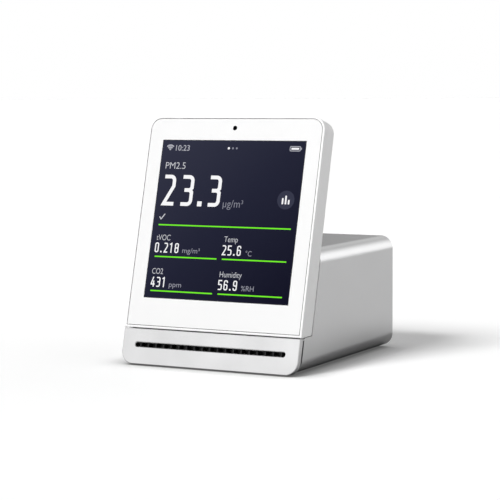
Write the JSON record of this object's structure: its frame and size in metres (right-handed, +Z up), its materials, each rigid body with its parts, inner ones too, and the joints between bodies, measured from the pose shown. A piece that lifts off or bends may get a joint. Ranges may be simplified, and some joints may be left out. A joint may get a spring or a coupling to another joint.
{
  "type": "air quality monitor",
  "caption": "Desk air quality monitor: a slim display head leaning back on a rounded aluminium base with a front air inlet slot, rear vents and a charging port.",
  "frame": {"origin": "on the table, under the middle of the object's box", "axes": "+Z up, the display faces -Y, +X to the viewer's right"},
  "size_m": [0.068, 0.0789, 0.0846],
  "materials": {
    "white_plastic": "satin",
    "button_plastic": "satin",
    "cover_glass": "gloss",
    "printed_white": "gloss",
    "display_dark": "gloss",
    "bead_blasted_aluminium": "bead-blasted, anodised",
    "black_plastic": "matte",
    "rear_plastic": "matte",
    "silicone": "matte",
    "circuit_board": "satin",
    "chip_black": "matte",
    "bright_steel": "satin",
    "screw_steel": "satin",
    "gold_plate": "gloss",
    "copper_coil": "gloss",
    "magnet": "matte",
    "foam": "matte",
    "amber_film": "gloss",
    "battery_wrap": "satin",
    "wire_red": "gloss",
    "white_membrane": "matte",
    "fine_mesh": "matte"
  },
  "bodies": {
    "housing": {"backlight_unit": "bright_steel", "base_chassis": "black_plastic", "base_pad": "silicone", "base_shell": "bead_blasted_aluminium", "battery_bracket": "black_plastic", "battery_guard_board": "circuit_board", "battery_leads": "wire_red", "battery_pack": "battery_wrap", "battery_tape": "foam", "board_connectors": "black_plastic", "board_screws": "screw_steel", "button_board": "circuit_board", "button_switch": "black_plastic", "chin_plate": "bead_blasted_aluminium", "climate_sensor": "chip_black", "climate_sensor_board": "circuit_board", "co2_filter_membrane": "white_membrane", "co2_optical_cell": "gold_plate", "co2_sensor_board": "circuit_board", "co2_sensor_headers": "black_plastic", "cover_glass": "cover_glass", "display_panel": "display_dark", "fan_frame": "black_plastic", "fan_stator": "copper_coil", "front_sensor_flex": "amber_film", "glass_adhesive": "foam", "head_back_cover": "white_plastic", "head_frame": "white_plastic", "head_screws": "screw_steel", "inlet_duct": "foam", "inlet_grille": "black_plastic", "inlet_mesh": "fine_mesh", "laser_module": "gold_plate", "light_chamber": "black_plastic", "light_sensor": "chip_black", "light_sensor_board": "circuit_board", "main_board": "circuit_board", "main_board_chips": "chip_black", "main_board_screws": "screw_steel", "main_flex": "amber_film", "organic_gas_sensor": "chip_black", "organic_gas_sensor_board": "circuit_board", "particle_sensor_board": "circuit_board", "particle_sensor_case": "bright_steel", "particle_sensor_lid": "bright_steel", "photodiode": "chip_black", "processor_shield": "bright_steel", "rear_cover": "rear_plastic", "screen_mask": "printed_white", "sensor_board": "circuit_board", "sensor_board_chips": "chip_black", "shell_screws": "screw_steel", "usb_port_shell": "bright_steel", "usb_port_tongue": "black_plastic", "wifi_antenna": "amber_film"},
    "button": {"power_button": "button_plastic", "switch_plunger": "chip_black"},
    "fan": {"fan_rotor": "black_plastic", "fan_shaft": "bright_steel", "fan_magnet": "magnet"}
  },
  "joints": [
    {"name": "power_button_press", "type": "slide", "parent": "housing", "child": "button", "axis": [0, -0.2588, -0.9659], "range_m": [0, 0.0004], "stiffness_N_per_m": 1500},
    {"name": "fan_spin", "type": "hinge", "parent": "housing", "child": "fan", "pos_m": [-0.003, 0.0105, 0.0123], "axis": [0, 0, 1], "continuous": true}
  ]
}
